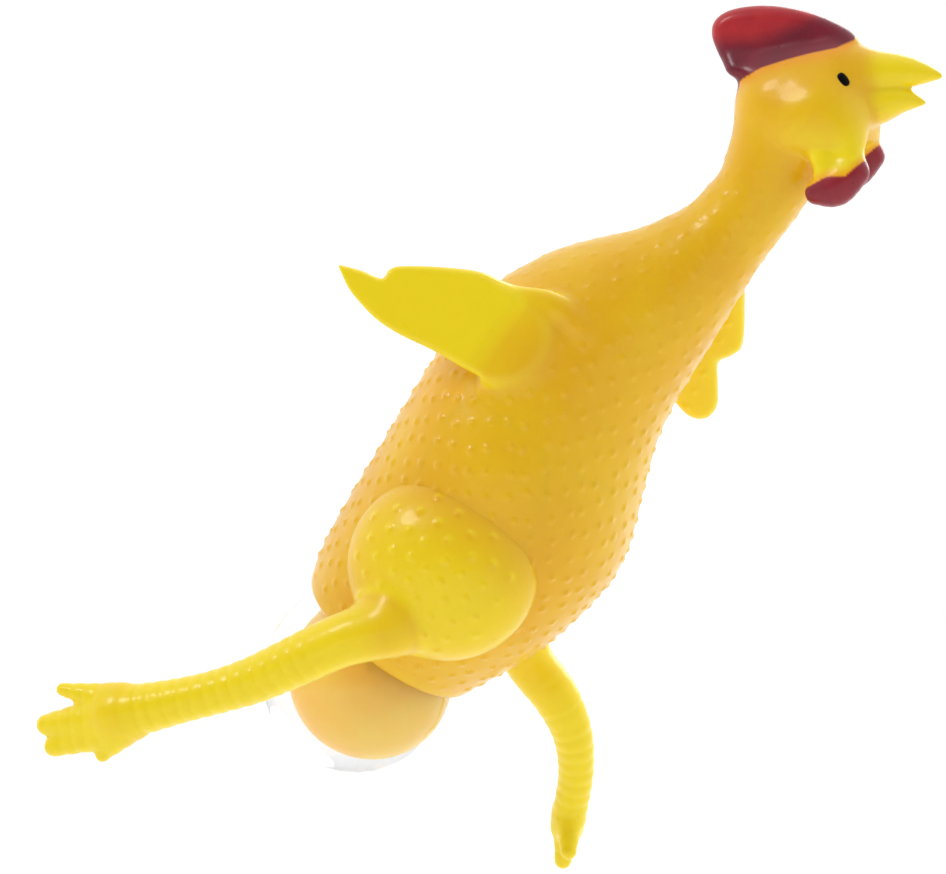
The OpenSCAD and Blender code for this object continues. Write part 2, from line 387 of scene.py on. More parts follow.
class Wing:
    def __init__(self, side, foot, head, outline, sideways, half):
        self.side = side
        self.foot = np.array(foot, float)
        span = np.array(head, float) - self.foot
        flat = np.hypot(span[0], span[2])
        self.line = np.array([span[0], span[2]]) / flat
        self.out = SIDES[side] * np.array([self.line[1], -self.line[0]])
        self.rise = span[1] / flat
        self.outline = curve(outline, per=5, closed=True)
        self.sideways = sideways
        self.half = half

    def reach(self, p):
        """Distance from the hinge line, seen from the side."""
        return (p[:, 0] - self.foot[0]) * self.out[0] + (p[:, 2] - self.foot[2]) * self.out[1]

    def middle(self, p):
        """How far sideways the wing's middle sheet lies."""
        climb = (p[:, 0] - self.foot[0]) * self.line[0] + (p[:, 2] - self.foot[2]) * self.line[1]
        return self.foot[1] + self.rise * climb + self.sideways(self.reach(p))

    def field(self, p):
        step = 0.5
        middle = self.middle(p)
        lean_x = (self.middle(p + [step, 0, 0]) - middle) / step
        lean_z = (self.middle(p + [0, 0, step]) - middle) / step
        across = (p[:, 1] - middle) / np.sqrt(1 + lean_x**2 + lean_z**2)
        edge = outline_distance(p[:, 0], p[:, 2], self.outline)
        thin = 1 - WING_THINNING * smoothstep(self.reach(p) / WING_THINNED_AT)
        half = self.half * thin
        return plate(across, edge, half, np.minimum(WING_RIM, 0.8 * half))


near_wing = Wing(
    "right", foot=(6.6, -20.4, 24.8), head=(14.6, -17.0, 37.6),
    outline=[
        [-21.0, 42.4], [-19.8, 42.2], [-16.9, 41.4], [-13.5, 40.1], [-12.2, 41.7], [-10.0, 42.3],
        [-3.0, 42.1], [3.6, 41.2], [8.0, 38.8], [11.4, 35.6], [14.6, 33.0], [14.8, 28.0],
        [11.6, 23.6], [6.5, 22.6], [1.6, 24.6], [-4.2, 27.8], [-9.8, 30.4], [-13.7, 32.8],
        [-16.8, 35.7], [-19.0, 38.3], [-20.5, 41.2],
    ],
    sideways=lambda t: -0.11 * t + 0.03 * np.minimum(t, 0) ** 2, half=2.0,
)
far_wing = Wing(
    "left", foot=(17.4, 20.4, 26.0), head=(23.2, 16.6, 38.2),
    outline=[
        [18.0, 26.0], [23.0, 38.0], [29.0, 41.6], [36.0, 42.4], [39.0, 39.6], [38.9, 33.0],
        [38.0, 26.6], [36.0, 24.6], [33.3, 23.2], [32.9, 19.4], [32.4, 14.8], [30.0, 12.4],
        [27.0, 13.0], [24.0, 16.6], [19.6, 20.0],
    ],
    sideways=lambda t: 15 * (1 - np.exp(-np.maximum(t, -3) / 9)), half=2.2,
)
WEB = curve([[8.0, -17.6, 37.0, 1.2], [12.4, -17.0, 36.8, 1.8], [17.0, -16.4, 35.0, 1.8],
             [20.6, -15.6, 31.4, 1.0]], per=4)


# ---------------------------------------------------------------- the body's field

head_part = only_near(skull, (42, -9, 60), (80, 9, 83))
comb_part = only_near(comb, (39, -3, 74), (66, 3, 88))
wattle_parts = {
    side: only_near(lambda p, side=side: wattle(p, side), (55, -11, 50), (70, 11, 72))
    for side in ("left", "right")
}
near_wing_part = only_near(near_wing.field, (-22, -26, 22), (17, -14, 44))
far_wing_part = only_near(far_wing.field, (17, 12, 12), (40, 36, 43))
web_part = only_near(lambda p: tube(p, WEB)[0], (6, -20, 29), (23, -13, 41))


def solid(p):
    """The moulding as if the torso were filled. The wattles and the near wing melt into it only
    near their roots, so that they hang free lower down."""
    d = trunk(p)
    d = smooth_min(d, head_part(p), 3.0)
    for side, part in wattle_parts.items():
        over_cut = smoothstep((p[:, 2] - WATTLE_CUT_Z[side] - 0.6) / 3)
        d = smooth_min(d, part(p), 1.0 + 3.0 * over_cut)
    d = smooth_min(d, comb_part(p), 2.2)
    at_root = smoothstep(1 - near_wing.reach(p) / 3)
    d = smooth_min(d, near_wing_part(p), 1.7 + 3.5 * at_root)
    d = smooth_min(d, far_wing_part(p), 2.4)
    return smooth_min(d, web_part(p), 3.0)


def body(p):
    """The moulding, hollow where the bag lies."""
    return smooth_max(solid(p), -bag_space(p), 0.6)


# ---------------------------------------------------------------- legs

# Rows are x, y, z, radius. The right leg is the near one, stretched back; the left one hangs.
LEG_PATHS = {
    "right": [
        [-12.0, -25.0, -20.6, 5.4], [-19.5, -26.6, -22.8, 4.9], [-30.0, -26.9, -27.8, 4.4],
        [-36.5, -26.9, -30.8, 4.15], [-43.4, -26.8, -33.2, 3.9], [-50.2, -26.8, -35.1, 4.0],
        [-57.2, -26.8, -36.9, 4.5], [-62.5, -26.8, -38.0, 5.0],
    ],
    "left": [
        [-4.4, 25.0, -24.0, 5.6], [-2.4, 26.9, -33.0, 4.9], [2.8, 28.4, -40.4, 4.4],
        [5.3, 31.6, -48.0, 3.8], [5.0, 35.4, -56.0, 3.4], [3.2, 38.6, -63.0, 3.3],
        [2.0, 40.0, -68.0, 3.2],
    ],
}
TOES = {
    "right": [
        [[-62.0, -26.8, -36.0, 3.4], [-73.2, -26.9, -34.3, 1.1]],
        [[-64.0, -26.8, -38.8, 4.0], [-76.4, -26.9, -40.9, 1.9]],
        [[-64.0, -26.8, -41.2, 3.4], [-75.0, -26.9, -44.8, 1.8]],
        [[-60.0, -26.8, -40.0, 3.2], [-65.5, -26.9, -45.8, 1.2]],
    ],
    "left": [
        [[2.6, 39.0, -65.4, 2.6], [3.4, 35.8, -72.0, 1.6]],
        [[2.0, 40.2, -66.4, 2.8], [0.9, 40.6, -75.0, 1.6]],
        [[1.6, 41.2, -66.6, 2.8], [-0.6, 46.0, -75.4, 1.6]],
        [[1.4, 41.4, -64.4, 2.6], [-1.4, 48.0, -66.4, 1.5]],
    ],
}
THIGH_AT = (-4.5, 16.6, -10.8)
THIGH_RADII = (17.4, 11.4, 16.4)
SCUTE = 2.7
SCUTE_HEIGHT = 0.22
EMBED = 3.6


def scutes(reach, first):
    """Rounded plates round the shank, with narrow grooves between them."""
    rounded = np.sqrt(np.abs(np.sin(math.pi * reach / SCUTE)))
    return SCUTE_HEIGHT * rounded * smoothstep((reach - first) / 8)


def leg(p, side):
    """The whole leg, its root sunk a little into the trunk."""
    d, reach = tube(p, curve(LEG_PATHS[side], per=5))
    d = d + 0.15 - scutes(reach, 9.0)
    for toe in TOES[side]:
        toe_d, toe_reach = tube(p, np.array(toe, float))
        d = smooth_min(d, toe_d + 0.12 - scutes(toe_reach + 4, 0.0), 1.3)
    centre = np.array(THIGH_AT) * [1, SIDES[side], 1]
    d = smooth_min(d, ellipsoid(p, centre, np.array(THIGH_RADII)), 4.5)
    return smooth_max(d, -(trunk_radial(p) + EMBED), 0.5)


# ---------------------------------------------------------------- meshing


PIMPLE_GAP = 3.7
PIMPLE_R = 0.8
PIMPLE_SUNK = 0.42
PIMPLE_STRAY = 0.7
PIMPLE_MELT = 0.35


class Grid:
    """A field sampled on a fine grid near its surface, and coarsely elsewhere."""

    def __init__(self, field, low, high):
        self.low = np.array(low, float)
        blocks = np.ceil((np.array(high) - self.low) / VOXEL / BLOCK).astype(int)
        step = BLOCK * VOXEL
        at = np.stack(np.meshgrid(*[np.arange(n) for n in blocks], indexing="ij"), -1).reshape(-1, 3)
        coarse = field(self.low + (at + 0.5) * step - VOXEL / 2)
        values = np.broadcast_to(coarse[:, None, None, None], (len(at), BLOCK, BLOCK, BLOCK)).copy()
        near = np.flatnonzero(np.abs(coarse) < 1.5 * step)
        inner = np.stack(np.meshgrid(*[np.arange(BLOCK)] * 3, indexing="ij"), -1).reshape(-1, 3)
        for part in np.array_split(near, max(1, len(near) // 400)):
            p = self.low + (at[part][:, None, :] * BLOCK + inner[None]).reshape(-1, 3) * VOXEL
            values[part] = field(p).reshape(-1, BLOCK, BLOCK, BLOCK)
        shape = tuple(blocks) + (BLOCK,) * 3
        dense = values.reshape(shape).transpose(0, 3, 1, 4, 2, 5)
        self.values = np.ascontiguousarray(dense.reshape(blocks * BLOCK), np.float32)

    def read(self, p):
        """The field at any points, straight between the samples."""
        at = (p - self.low) / VOXEL
        base = np.clip(np.floor(at).astype(int), 0, np.array(self.values.shape) - 2)
        part = at - base
        total = np.zeros(len(p))
        for i in (0, 1):
            for j in (0, 1):
                for k in (0, 1):
                    corner = self.values[base[:, 0] + i, base[:, 1] + j, base[:, 2] + k]
                    weight = np.abs(1 - np.array([i, j, k]) - part).prod(1)
                    total += corner * weight
        return total

    def slope(self, p):
        """The field's unit gradient: the outward normal."""
        steps = np.eye(3) * VOXEL
        g = np.stack([self.read(p + step) - self.read(p - step) for step in steps], 1)
        return g / (np.linalg.norm(g, axis=1, keepdims=True) + 1e-9)

    def settle(self, p, turns=3):
        """The points, moved onto the surface."""
        for _ in range(turns):
            p = p - self.slope(p) * self.read(p)[:, None]
        return p

    def add_balls(self, centres, radius, melt):
        """Melts a small ball into the surface at each centre."""
        reach = radius + 2 * VOXEL
        for centre in centres:
            low = np.maximum(np.floor((centre - reach - self.low) / VOXEL).astype(int), 0)
            high = np.ceil((centre + reach - self.low) / VOXEL).astype(int) + 1
            window = tuple(slice(a, b) for a, b in zip(low, high))
            old = self.values[window]
            index = np.indices(old.shape).reshape(3, -1).T + low
            d = ball(self.low + index * VOXEL, centre, radius).reshape(old.shape)
            self.values[window] = smooth_min(old, d, melt)

    def mesh(self):
        """Vertices and four-sided faces of the surface."""
        band = 3 * VOXEL
        grid = openvdb.FloatGrid(band)
        grid.copyFromArray(np.clip(self.values, -band, band))
        points, quads = grid.convertToQuads(0.0)
        return self.settle(self.low + points * VOXEL, 2), quads


def spread_on_trunk(low_s, high_s, spacing):
    """Places scattered round the trunk, about as far apart along it as round it."""
    stray = np.random.default_rng(5)
    s = low_s
    angle = 0.0
    places = []
    while s < high_s:
        middle, depth, half = trunk_at(s)
        place = torso_point(middle + depth * math.cos(angle), half * math.sin(angle), s)
        places.append(place + stray.uniform(-PIMPLE_STRAY, PIMPLE_STRAY, 3))
        s += spacing**2 / (math.pi * (depth + half))
        angle += GOLDEN_ANGLE
    return np.array(places)


def spread_on_dome(centre, radii, side, share, spacing):
    """Sunflower places over one side of an ellipsoid, out to a share of its outline."""
    count = int(math.pi * radii[0] * radii[2] * share**2 / spacing**2)
    n = np.arange(count) + 0.5
    away = share * np.sqrt(n / count)
    turn = n * GOLDEN_ANGLE
    up = side * np.sqrt(1 - away**2)
    return centre + radii * np.column_stack([away * np.cos(turn), up, away * np.sin(turn)])


def pimple_size(p):
    """How far the pimples stand out: strong on the breast, faint on the back and up the neck, and
    none round the near wing."""
    s = p @ along
    size = np.interp(s, [LIP_S + 1, LIP_S + 4, 30, 44, 74, 80], [0, 1, 1, 0.7, 0.45, 0])
    back = smoothstep((-2 - p @ ventral) / 8) * smoothstep((s - 15) / 10)
    return size * (1 - 0.5 * back) * smoothstep((near_wing_part(p) - 0.5) / 4)


def add_pimples(grid, places, size):
    """Pimples on the surface near the places. The smaller a pimple, the deeper its ball is sunk."""
    places = grid.settle(places)
    normal = grid.slope(places)
    keep = size > 0.2
    sunk = PIMPLE_SUNK + 0.4 * (1 - size)
    centres = places - normal * sunk[:, None]
    grid.add_balls(centres[keep], PIMPLE_R, PIMPLE_MELT)


# ---------------------------------------------------------------- cutting


def to_bmesh(points, quads):
    bm = bmesh.new()
    bm.faces.layers.int.new("cap")
    verts = [bm.verts.new(p) for p in points]
    for quad in quads:
        bm.faces.new([verts[i] for i in quad])
    bm.normal_update()
    return bm


def cap(bm, outward):
    """Closes a fresh cut with flat faces, marked so that they keep their own flat normals."""
    mark = bm.faces.layers.int["cap"]
    rim = [edge for edge in bm.edges if edge.is_boundary]
    made = bmesh.ops.triangle_fill(bm, use_beauty=True, edges=rim, normal=outward)["geom"]
    for face in made:
        if isinstance(face, bmesh.types.BMFace):
            face[mark] = 1
            face.normal_update()
            if face.normal.dot(outward) < 0:
                face.normal_flip()


def cut_off(bm, at, normal, seed=None, reach=FAR):
    """Cuts the mesh with a plane and returns the part beyond it, capping both.

    With a seed, the cut is made only within reach of `at`, and only what joins on to the seed goes."""
    at = Vector(at)
    normal = Vector(normal).normalized()
    faces = [f for f in bm.faces if (f.verts[0].co - at).length < reach]
    geom = set(faces)
    for face in faces:
        geom.update(face.edges)
        geom.update(face.verts)
    cut = bmesh.ops.bisect_plane(bm, geom=list(geom), plane_co=at, plane_no=normal, dist=1e-5)
    found = {f for f in bm.faces if (f.calc_center_median() - at).dot(normal) > 0}
    if seed is not None:
        seed = Vector(seed)
        wall = {e for e in cut["geom_cut"] if isinstance(e, bmesh.types.BMEdge)}
        stack = [min(found, key=lambda f: (f.verts[0].co - seed).length_squared)]
        found = set(stack)
        while stack:
            for edge in stack.pop().edges:
                if edge in wall:
                    continue
                for face in edge.link_faces:
                    if face not in found:
                        found.add(face)
                        stack.append(face)
    part = bm.copy()
    part.faces.ensure_lookup_table()
    bm.faces.index_update()
    keep = {face.index for face in found}
    bmesh.ops.delete(part, geom=[f for f in part.faces if f.index not in keep], context="FACES")
    bmesh.ops.delete(bm, geom=list(found), context="FACES")
    cap(part, -normal)
    cap(bm, normal)
    return part


def into_scene(name, mesh):
    piece = bpy.data.objects.new(name, mesh)
    bpy.context.scene.collection.objects.link(piece)
    return piece


def shade_smooth(mesh):
    mesh.polygons.foreach_set("use_smooth", np.ones(len(mesh.polygons), bool))


def read_all(items, name, kind=int):
    """One whole-number property of every item, or one vector of every item if the kind is float."""
    values = np.empty(len(items) * (3 if kind is float else 1), kind)
    items.foreach_get(name, values)
    return values.reshape(-1, 3) if kind is float else values


def normals_at_corners(mesh, normals):
    """The field's normals at the corners of the faces, and flat ones on the caps of cuts."""
    at_corners = normals[read_all(mesh.loops, "vertex_index")]
    flat = read_all(mesh.attributes["cap"].data, "value")
    sizes = read_all(mesh.polygons, "loop_total")
    of_face = np.repeat(np.arange(len(sizes)), sizes)
    on_cap = flat[of_face] > 0
    at_corners[on_cap] = read_all(mesh.polygons, "normal", float)[of_face[on_cap]]
    return at_corners


def moulded_piece(name, bm, grid, material, nodes):
    """A piece cut from a moulding: in metres, shaded with the field's normals, toned by attribute."""
    mesh = bpy.data.meshes.new(name)
    bm.to_mesh(mesh)
    bm.free()
    points = read_all(mesh.vertices, "co", float)
    normals = grid.slope(points)
    at_corners = normals_at_corners(mesh, normals)
    mesh.attributes.remove(mesh.attributes["cap"])
    shade_smooth(mesh)
    mesh.vertices.foreach_set("co", (points * MM).ravel())
    # The tones: red paint with its blush, painted light and shade on the red, and painted backlight where
    # the rubber is thin.
    tones = {
        "paint": paint_on(points),
        "painted_red_light": painted_red_light_on(points),
        "thin": painted_backlight_on(points, normals, grid),
    }
    for label, values in tones.items():
        attribute = mesh.attributes.new(label, "FLOAT", "POINT")
        attribute.data.foreach_set("value", values.astype(np.float32))
    mesh.normals_split_custom_set(at_corners)
    mesh.materials.append(material)
    mesh.update()
    piece = into_scene(name, mesh)
    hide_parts(*nodes)
    return piece


def blend(piece):
    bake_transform(piece)


# ---------------------------------------------------------------- paint

# The comb is painted down to this line: x, and z.
COMB_PAINT = (
    [44.0, 45.3, 49.4, 53.7, 57.9, 62.1, 64.7, 65.5],
    [70.0, 74.0, 76.2, 77.5, 78.6, 79.4, 80.8, 86.0],
)
# The near wattle is painted below this line: x, and z. The far one's line is shifted with it.
WATTLE_PAINT = ([57.3, 62.0, 65.1, 67.9], [55.5, 57.8, 57.8, 60.4])
# The comb's red has painted light above this line and painted shade (maroon) below it: x, and z.
COMB_LIGHT_LINE = ([41.3, 49.1, 53.4, 56.2, 62.0], [81.0, 81.3, 82.9, 84.2, 88.0])
COMB_REACH = 2.5
WATTLE_RED_LIGHT = 0.3
BLUSH = 0.4


def paint_on(p):
    """1 where the moulding is painted red, up to BLUSH where it glows beside the paint, 0 where bare."""
    near_comb = comb_part(p)
    lift = p[:, 2] - np.interp(p[:, 0], *COMB_PAINT)
    paint = smoothstep((lift + 0.5) / 1.0) * smoothstep((COMB_REACH - near_comb) / 0.5)
    blush = smoothstep((lift + 2.6) / 2.6) * smoothstep((5.0 - near_comb) / 2.0)
    for side, part in wattle_parts.items():
        near = part(p)
        shift = WATTLE_SHIFT[side]
        drop = np.interp(p[:, 0] - shift[0], *WATTLE_PAINT) + shift[2] - p[:, 2]
        paint = np.maximum(paint, smoothstep((drop + 0.5) / 1.0) * smoothstep((0.8 - near) / 0.4))
        blush = np.maximum(blush, smoothstep((drop + 2.0) / 2.0) * smoothstep((1.6 - near) / 1.0))
    return np.maximum(paint, BLUSH * blush)


def painted_red_light_on(p):
    """Painted light and shade on the red paint: lit bright red on top of the comb, painted shade (maroon)
    at its foot, and a fixed, mostly maroon tone on the wattles.
    """
    lift = p[:, 2] - np.interp(p[:, 0], *COMB_LIGHT_LINE)
    return np.where(comb_part(p) < COMB_REACH, smoothstep(0.5 + lift / 4), WATTLE_RED_LIGHT)


# The painted backlight: how deep the rubber is probed, and the depths where it is full and where it fades
# out.
THIN_PROBE = 8.0
THIN_UP_TO = 0.5
THICK_FROM = 6.0


def painted_backlight_on(p, normals, grid):
    """Painted backlight: 1 where the rubber is thin enough for light to come through, 0 where the body is
    thick.
    """
    deep = p - THIN_PROBE * normals
    buried = -np.minimum(grid.read(deep), solid(deep))
    return 1 - smoothstep((buried - THIN_UP_TO) / (THICK_FROM - THIN_UP_TO))


# ---------------------------------------------------------------- materials


class Surface:
    """A material, with the nodes that feed its shader."""

    def __init__(self, name):
        self.material = bpy.data.materials.new(name)
        self.material.use_nodes = True
        self.tree = self.material.node_tree
        self.shader = self.tree.nodes["Principled BSDF"]

    def feed(self, node, feeds):
        """Feeds a node's inputs, given by name: a socket is linked, and a constant is set."""
        for name, value in feeds.items():
            if isinstance(value, bpy.types.NodeSocket):
                self.tree.links.new(value, node.inputs[name])
            else:
                node.inputs[name].default_value = value

    def node(self, kind, feeds):
        node = self.tree.nodes.new(kind)
        self.feed(node, feeds)
        return node

    def noise(self, scale, detail=3.0):
        """Noise fixed to the object, whose scale is in cycles per metre."""
        place = self.node("ShaderNodeTexCoord", {})
        return self.node("ShaderNodeTexNoise", {
            "Vector": place.outputs["Object"], "Scale": scale, "Detail": detail, "Roughness": 0.55,
        }).outputs["Fac"]

    def ramp(self, value, *stops):
        """Colours between two stops, each given as its position and its colour."""
        node = self.node("ShaderNodeValToRGB", {"Fac": value})
        for element, (position, colour) in zip(node.color_ramp.elements, stops):
            element.position = position
            element.color = colour
        return node.outputs["Color"]

    def spread(self, value, low, high, start=0.25, end=0.75):
        """A value taken from start..end to low..high. Most noise lies in the range given here."""
        return self.node("ShaderNodeMapRange", {
            "Value": value, "From Min": start, "From Max": end, "To Min": low, "To Max": high,
        }).outputs["Result"]

    def bump(self, value, depth):
        return self.node("ShaderNodeBump", {
            "Height": value, "Distance": depth, "Strength": 1.0,
        }).outputs["Normal"]

    def tone(self, name, start, end):
        """A vertex tone of the moulding, taken from start..end to 0..1."""
        attribute = self.node("ShaderNodeAttribute", {})
        attribute.attribute_name = name
        return self.spread(attribute.outputs["Fac"], 0.0, 1.0, start, end)

    def mixed(self, share, a, b):
        """Colour a turning into colour b."""
        mix = self.node("ShaderNodeMix", {})
        mix.data_type = "RGBA"
        self.feed(mix, {"Factor": share, "A": a, "B": b})
        return mix.outputs["Result"]


# The lemon colour is painted backlight, for thin rubber lit from behind.
BACKLIT_LEMON = (0.95, 0.72, 0.004, 1)
YELLOW = (0.86, 0.51, 0.002, 1)
DEEP_YELLOW = (0.83, 0.44, 0.002, 1)
ORANGE = (0.90, 0.30, 0.004, 1)
# The bright reds are the red paint with painted light on it, the maroons the same paint with painted
# shade.
LIT_BRIGHT_RED = (0.52, 0.024, 0.028, 1)
LIT_RED = (0.42, 0.016, 0.026, 1)
SHADED_MAROON = (0.22, 0.010, 0.026, 1)
SHADED_DARK_MAROON = (0.16, 0.008, 0.022, 1)


def painted_rubber(name):
    """Soft glossy rubber: yellow, paler lemon where thin as painted backlight, with brushed red paint and
    a blush beside it; the red has painted light on the comb's top and painted shade below.
    """
    surface = Surface(name)
    brushed = surface.noise(140, 4)
    bare = surface.ramp(surface.noise(55), (0.35, DEEP_YELLOW), (0.65, YELLOW))
    # Painted backlight: the yellow is mixed towards lemon where the rubber is thin.
    bare = surface.mixed(surface.tone("thin", 0.0, 1.0), bare, BACKLIT_LEMON)
    bare = surface.mixed(surface.tone("paint", 0.0, BLUSH * 1.6), bare, ORANGE)
    # Painted light and shade on one red paint: bright red high on the comb, maroon low on it and on the
    # wattles.
    shaded_red = surface.ramp(brushed, (0.35, SHADED_DARK_MAROON), (0.62, SHADED_MAROON))
    lit_red = surface.ramp(brushed, (0.35, LIT_RED), (0.62, LIT_BRIGHT_RED))
    red = surface.mixed(surface.tone("painted_red_light", 0.0, 1.0), shaded_red, lit_red)
    surface.feed(surface.shader, {
        "Base Color": surface.mixed(surface.tone("paint", BLUSH + 0.05, 0.85), bare, red),
        "Roughness": surface.spread(surface.noise(420), 0.26, 0.38),
        "Normal": surface.bump(surface.noise(1500, 2), 0.00004),
        "Subsurface Weight": 0.15,
        "Subsurface Radius": (1.0, 0.7, 0.15),
        "Subsurface Scale": 0.0009,
        "IOR": 1.44,
        "Specular IOR Level": 0.4,
        "Coat Weight": 0.18,
        "Coat Roughness": 0.08,
    })
    return surface.material


def eye_paint(name):
    surface = Surface(name)
    black = (0.0005, 0.0005, 0.0005, 1)
    soot = (0.002, 0.002, 0.002, 1)
    surface.feed(surface.shader, {
        "Base Color": surface.ramp(surface.noise(900), (0.3, black), (0.7, soot)),
        "Roughness": surface.spread(surface.noise(1600), 0.35, 0.45),
        "Specular IOR Level": 0.1,
    })
    return surface.material


def clear_skin(name, roughness, ior, tint):
    """Clear soft plastic or water, with a faint haze."""
    surface = Surface(name)
    surface.feed(surface.shader, {
        "Base Color": surface.ramp(surface.noise(60), (0.3, tint), (0.7, (0.98, 0.98, 0.98, 1))),
        "Roughness": surface.spread(surface.noise(300), roughness, roughness + 0.03),
        "Transmission Weight": 1.0,
        "IOR": ior,
    })
    return surface.material


def yolk_rubber(name):
    """Yolk rubber. It glows a little, for the light that comes through it from behind."""
    surface = Surface(name)
    amber = (0.96, 0.54, 0.07, 1)
    gold = (0.98, 0.66, 0.12, 1)
    colour = surface.ramp(surface.noise(70, 2), (0.3, amber), (0.7, gold))
    surface.feed(surface.shader, {
        "Base Color": colour,
        "Roughness": surface.spread(surface.noise(260), 0.30, 0.42),
        "Normal": surface.bump(surface.noise(700, 2), 0.00005),
        "Subsurface Weight": 0.5,
        "Subsurface Radius": (1.0, 0.6, 0.15),
        "Subsurface Scale": 0.003,
        "Emission Color": colour,
        "Emission Strength": 0.16,
    })
    return surface.material


# How far off the floor's glow starts and ends, in metres, and how strong it is there.
GLOW_FROM = 0.4
GLOW_TO = 2.6
NEAR_GLOW = 0.02
FAR_GLOW = 0.42


def pale(name, colour):
    """A pale matt sweep. It glows more the farther off it is, as its far part gets less light."""
    surface = Surface(name)
    darker = tuple(c * 0.99 for c in colour[:3]) + (1,)
    place = surface.node("ShaderNodeTexCoord", {})
    split = surface.node("ShaderNodeSeparateXYZ", {"Vector": place.outputs["Object"]})
    glow = surface.spread(split.outputs["Y"], NEAR_GLOW, FAR_GLOW, GLOW_FROM, GLOW_TO)
    surface.feed(surface.shader, {
        "Base Color": surface.ramp(surface.noise(3), (0.2, colour), (0.8, darker)),
        "Roughness": 0.9,
        "Specular IOR Level": 0.1,
        "Emission Color": colour,
        "Emission Strength": glow,
    })
    return surface.material


skin = painted_rubber("skin_yellow")
red_rubber = painted_rubber("comb_red")
eye_black = eye_paint("eye_black")
bubble_clear = clear_skin("bubble_clear", 0.015, 1.34, (0.96, 0.96, 0.965, 1))
water_clear = clear_skin("water", 0.02, 1.33, (0.94, 0.96, 0.97, 1))
bag_clear = clear_skin("bag_clear", 0.08, 1.40, (0.92, 0.93, 0.93, 1))
yolk_orange = yolk_rubber("yolk_orange")


# ---------------------------------------------------------------- the body's pieces

BODY_MARGIN = 5
FEATHER_Z = (14.0, 41.0)
FEATHER_X = (24.0, 38.0)
FEATHER_SIZE = 0.9


def add_wing_pimples(grid):
    """Pimples in staggered rows on both faces of the far wing."""
    places = np.array([
        [x + 0.5 * PIMPLE_GAP * (row % 2), 0, z]
        for row, z in enumerate(np.arange(*FEATHER_Z, PIMPLE_GAP * 0.87))
        for x in np.arange(*FEATHER_X, PIMPLE_GAP)
    ])
    places[:, 1] = far_wing.middle(places)
    places = places[far_wing_part(places) < -1.2]
    for face in (-1, 1):
        on_face = grid.settle(places + [0, face * 4.0, 0])
        on_face = on_face[(np.abs(far_wing_part(on_face)) < 0.4) & (trunk(on_face) > 1.5)]
        add_pimples(grid, on_face, np.full(len(on_face), FEATHER_SIZE))


def body_grid():
    """The field of all but the legs, with its pimples."""
    boxes = [node_box(name) for name in frame["nodes"] if "shank" not in name and "foot" not in name]
    low = np.min([low for low, _ in boxes], axis=0) - BODY_MARGIN
    high = np.max([high for _, high in boxes], axis=0) + BODY_MARGIN
    grid = Grid(body, low, high)
    places = spread_on_trunk(LIP_S + 2, 80.0, PIMPLE_GAP)
    add_pimples(grid, places, pimple_size(places))
    add_wing_pimples(grid)
    return grid


whole = body_grid()
moulding = to_bmesh(*whole.mesh())

# How far past its hinge a wing is cut, and within what reach.
WING_CUT = 4.0
WING_CUT_REACH = 17.0


def make_wing(wing, seed):
    """The wing beyond its root, cut a short way past its hinge."""
    joint = f"wing_{wing.side}_flap"
    root = hinge_at(joint)
    across = wing.sideways(WING_CUT + 0.5) - wing.sideways(WING_CUT - 0.5)
    out = np.array([wing.out[0], across, wing.out[1]])
    out /= np.linalg.norm(out)
    at = root + WING_CUT * np.array([wing.out[0], 0, wing.out[1]])
    at[1] = wing.middle(at[None])[0]
    bm = cut_off(moulding, at, out, seed, WING_CUT_REACH)
    piece = moulded_piece(f"wing_{wing.side}_skin", bm, whole, skin, [f"wing_{wing.side}"])
    blend(piece)


make_wing(near_wing, seed=(-20.0, -23.0, 42.6))
make_wing(far_wing, seed=(29.0, 33.0, 13.0))

WATTLE_CUT_REACH = 8.0


def make_wattle(side, sign):
    """A wattle's painted lobe, below its yellow stem."""
    shift = np.array(WATTLE_SHIFT[side]) * [1, sign, 1]
    at = np.array([65.0, 7.0 * sign, 0]) + shift * [1, 1, 0] + [0, 0, WATTLE_CUT_Z[side]]
    seed = (62.0 + shift[0], 8.0 * sign, 54.0 + shift[2])
    bm = cut_off(moulding, at, (0, 0, -1), seed, WATTLE_CUT_REACH)
    piece = moulded_piece(f"wattle_{side}_lobe", bm, whole, red_rubber, [f"wattle_{side}"])
    blend(piece)


for side, sign in SIDES.items():
    make_wattle(side, sign)

COMB_AT = np.array([54.0, 0.0, 80.5])
COMB_UP = np.array([-0.309, 0, 0.951])
COMB_CUT_REACH = 16.0


def make_comb():
    """The comb above its root."""
    bm = cut_off(moulding, COMB_AT, COMB_UP, (48.6, 0, 87.1), COMB_CUT_REACH)
    piece = moulded_piece("comb_crest", bm, whole, red_rubber, ["comb"])
    blend(piece)


make_comb()

# Cuts of the neck, as distances along it. The head's own way leans towards the breast.
COLLAR_S = 17.5
NECK_S = 58.0
HEAD_S = 71.8
HEAD_TILT = math.radians(15)


def make_neck_and_head():
    head_way = along * math.cos(HEAD_TILT) + ventral * math.sin(HEAD_TILT)
    collar_bm = cut_off(moulding, COLLAR_S * along, along)
    neck_bm = cut_off(collar_bm, NECK_S * along, along)
    head_bm = cut_off(neck_bm, HEAD_S * head_way, head_way)

    piece = moulded_piece("collar_skin", collar_bm, whole, skin, ["neck_lower"])
    blend(piece)
    piece = moulded_piece("neck_skin", neck_bm, whole, skin, ["neck_upper"])
    blend(piece)
    piece = moulded_piece("head_skin", head_bm, whole, skin, ["head", "upper_beak", "lower_beak"])
    blend(piece)


make_neck_and_head()

# Sideways from the middle: where a flank patch is cut, and how far round that place the cut reaches.
FLANK_CUT = 20.4
FLANK_CUT_REACH = 40.0


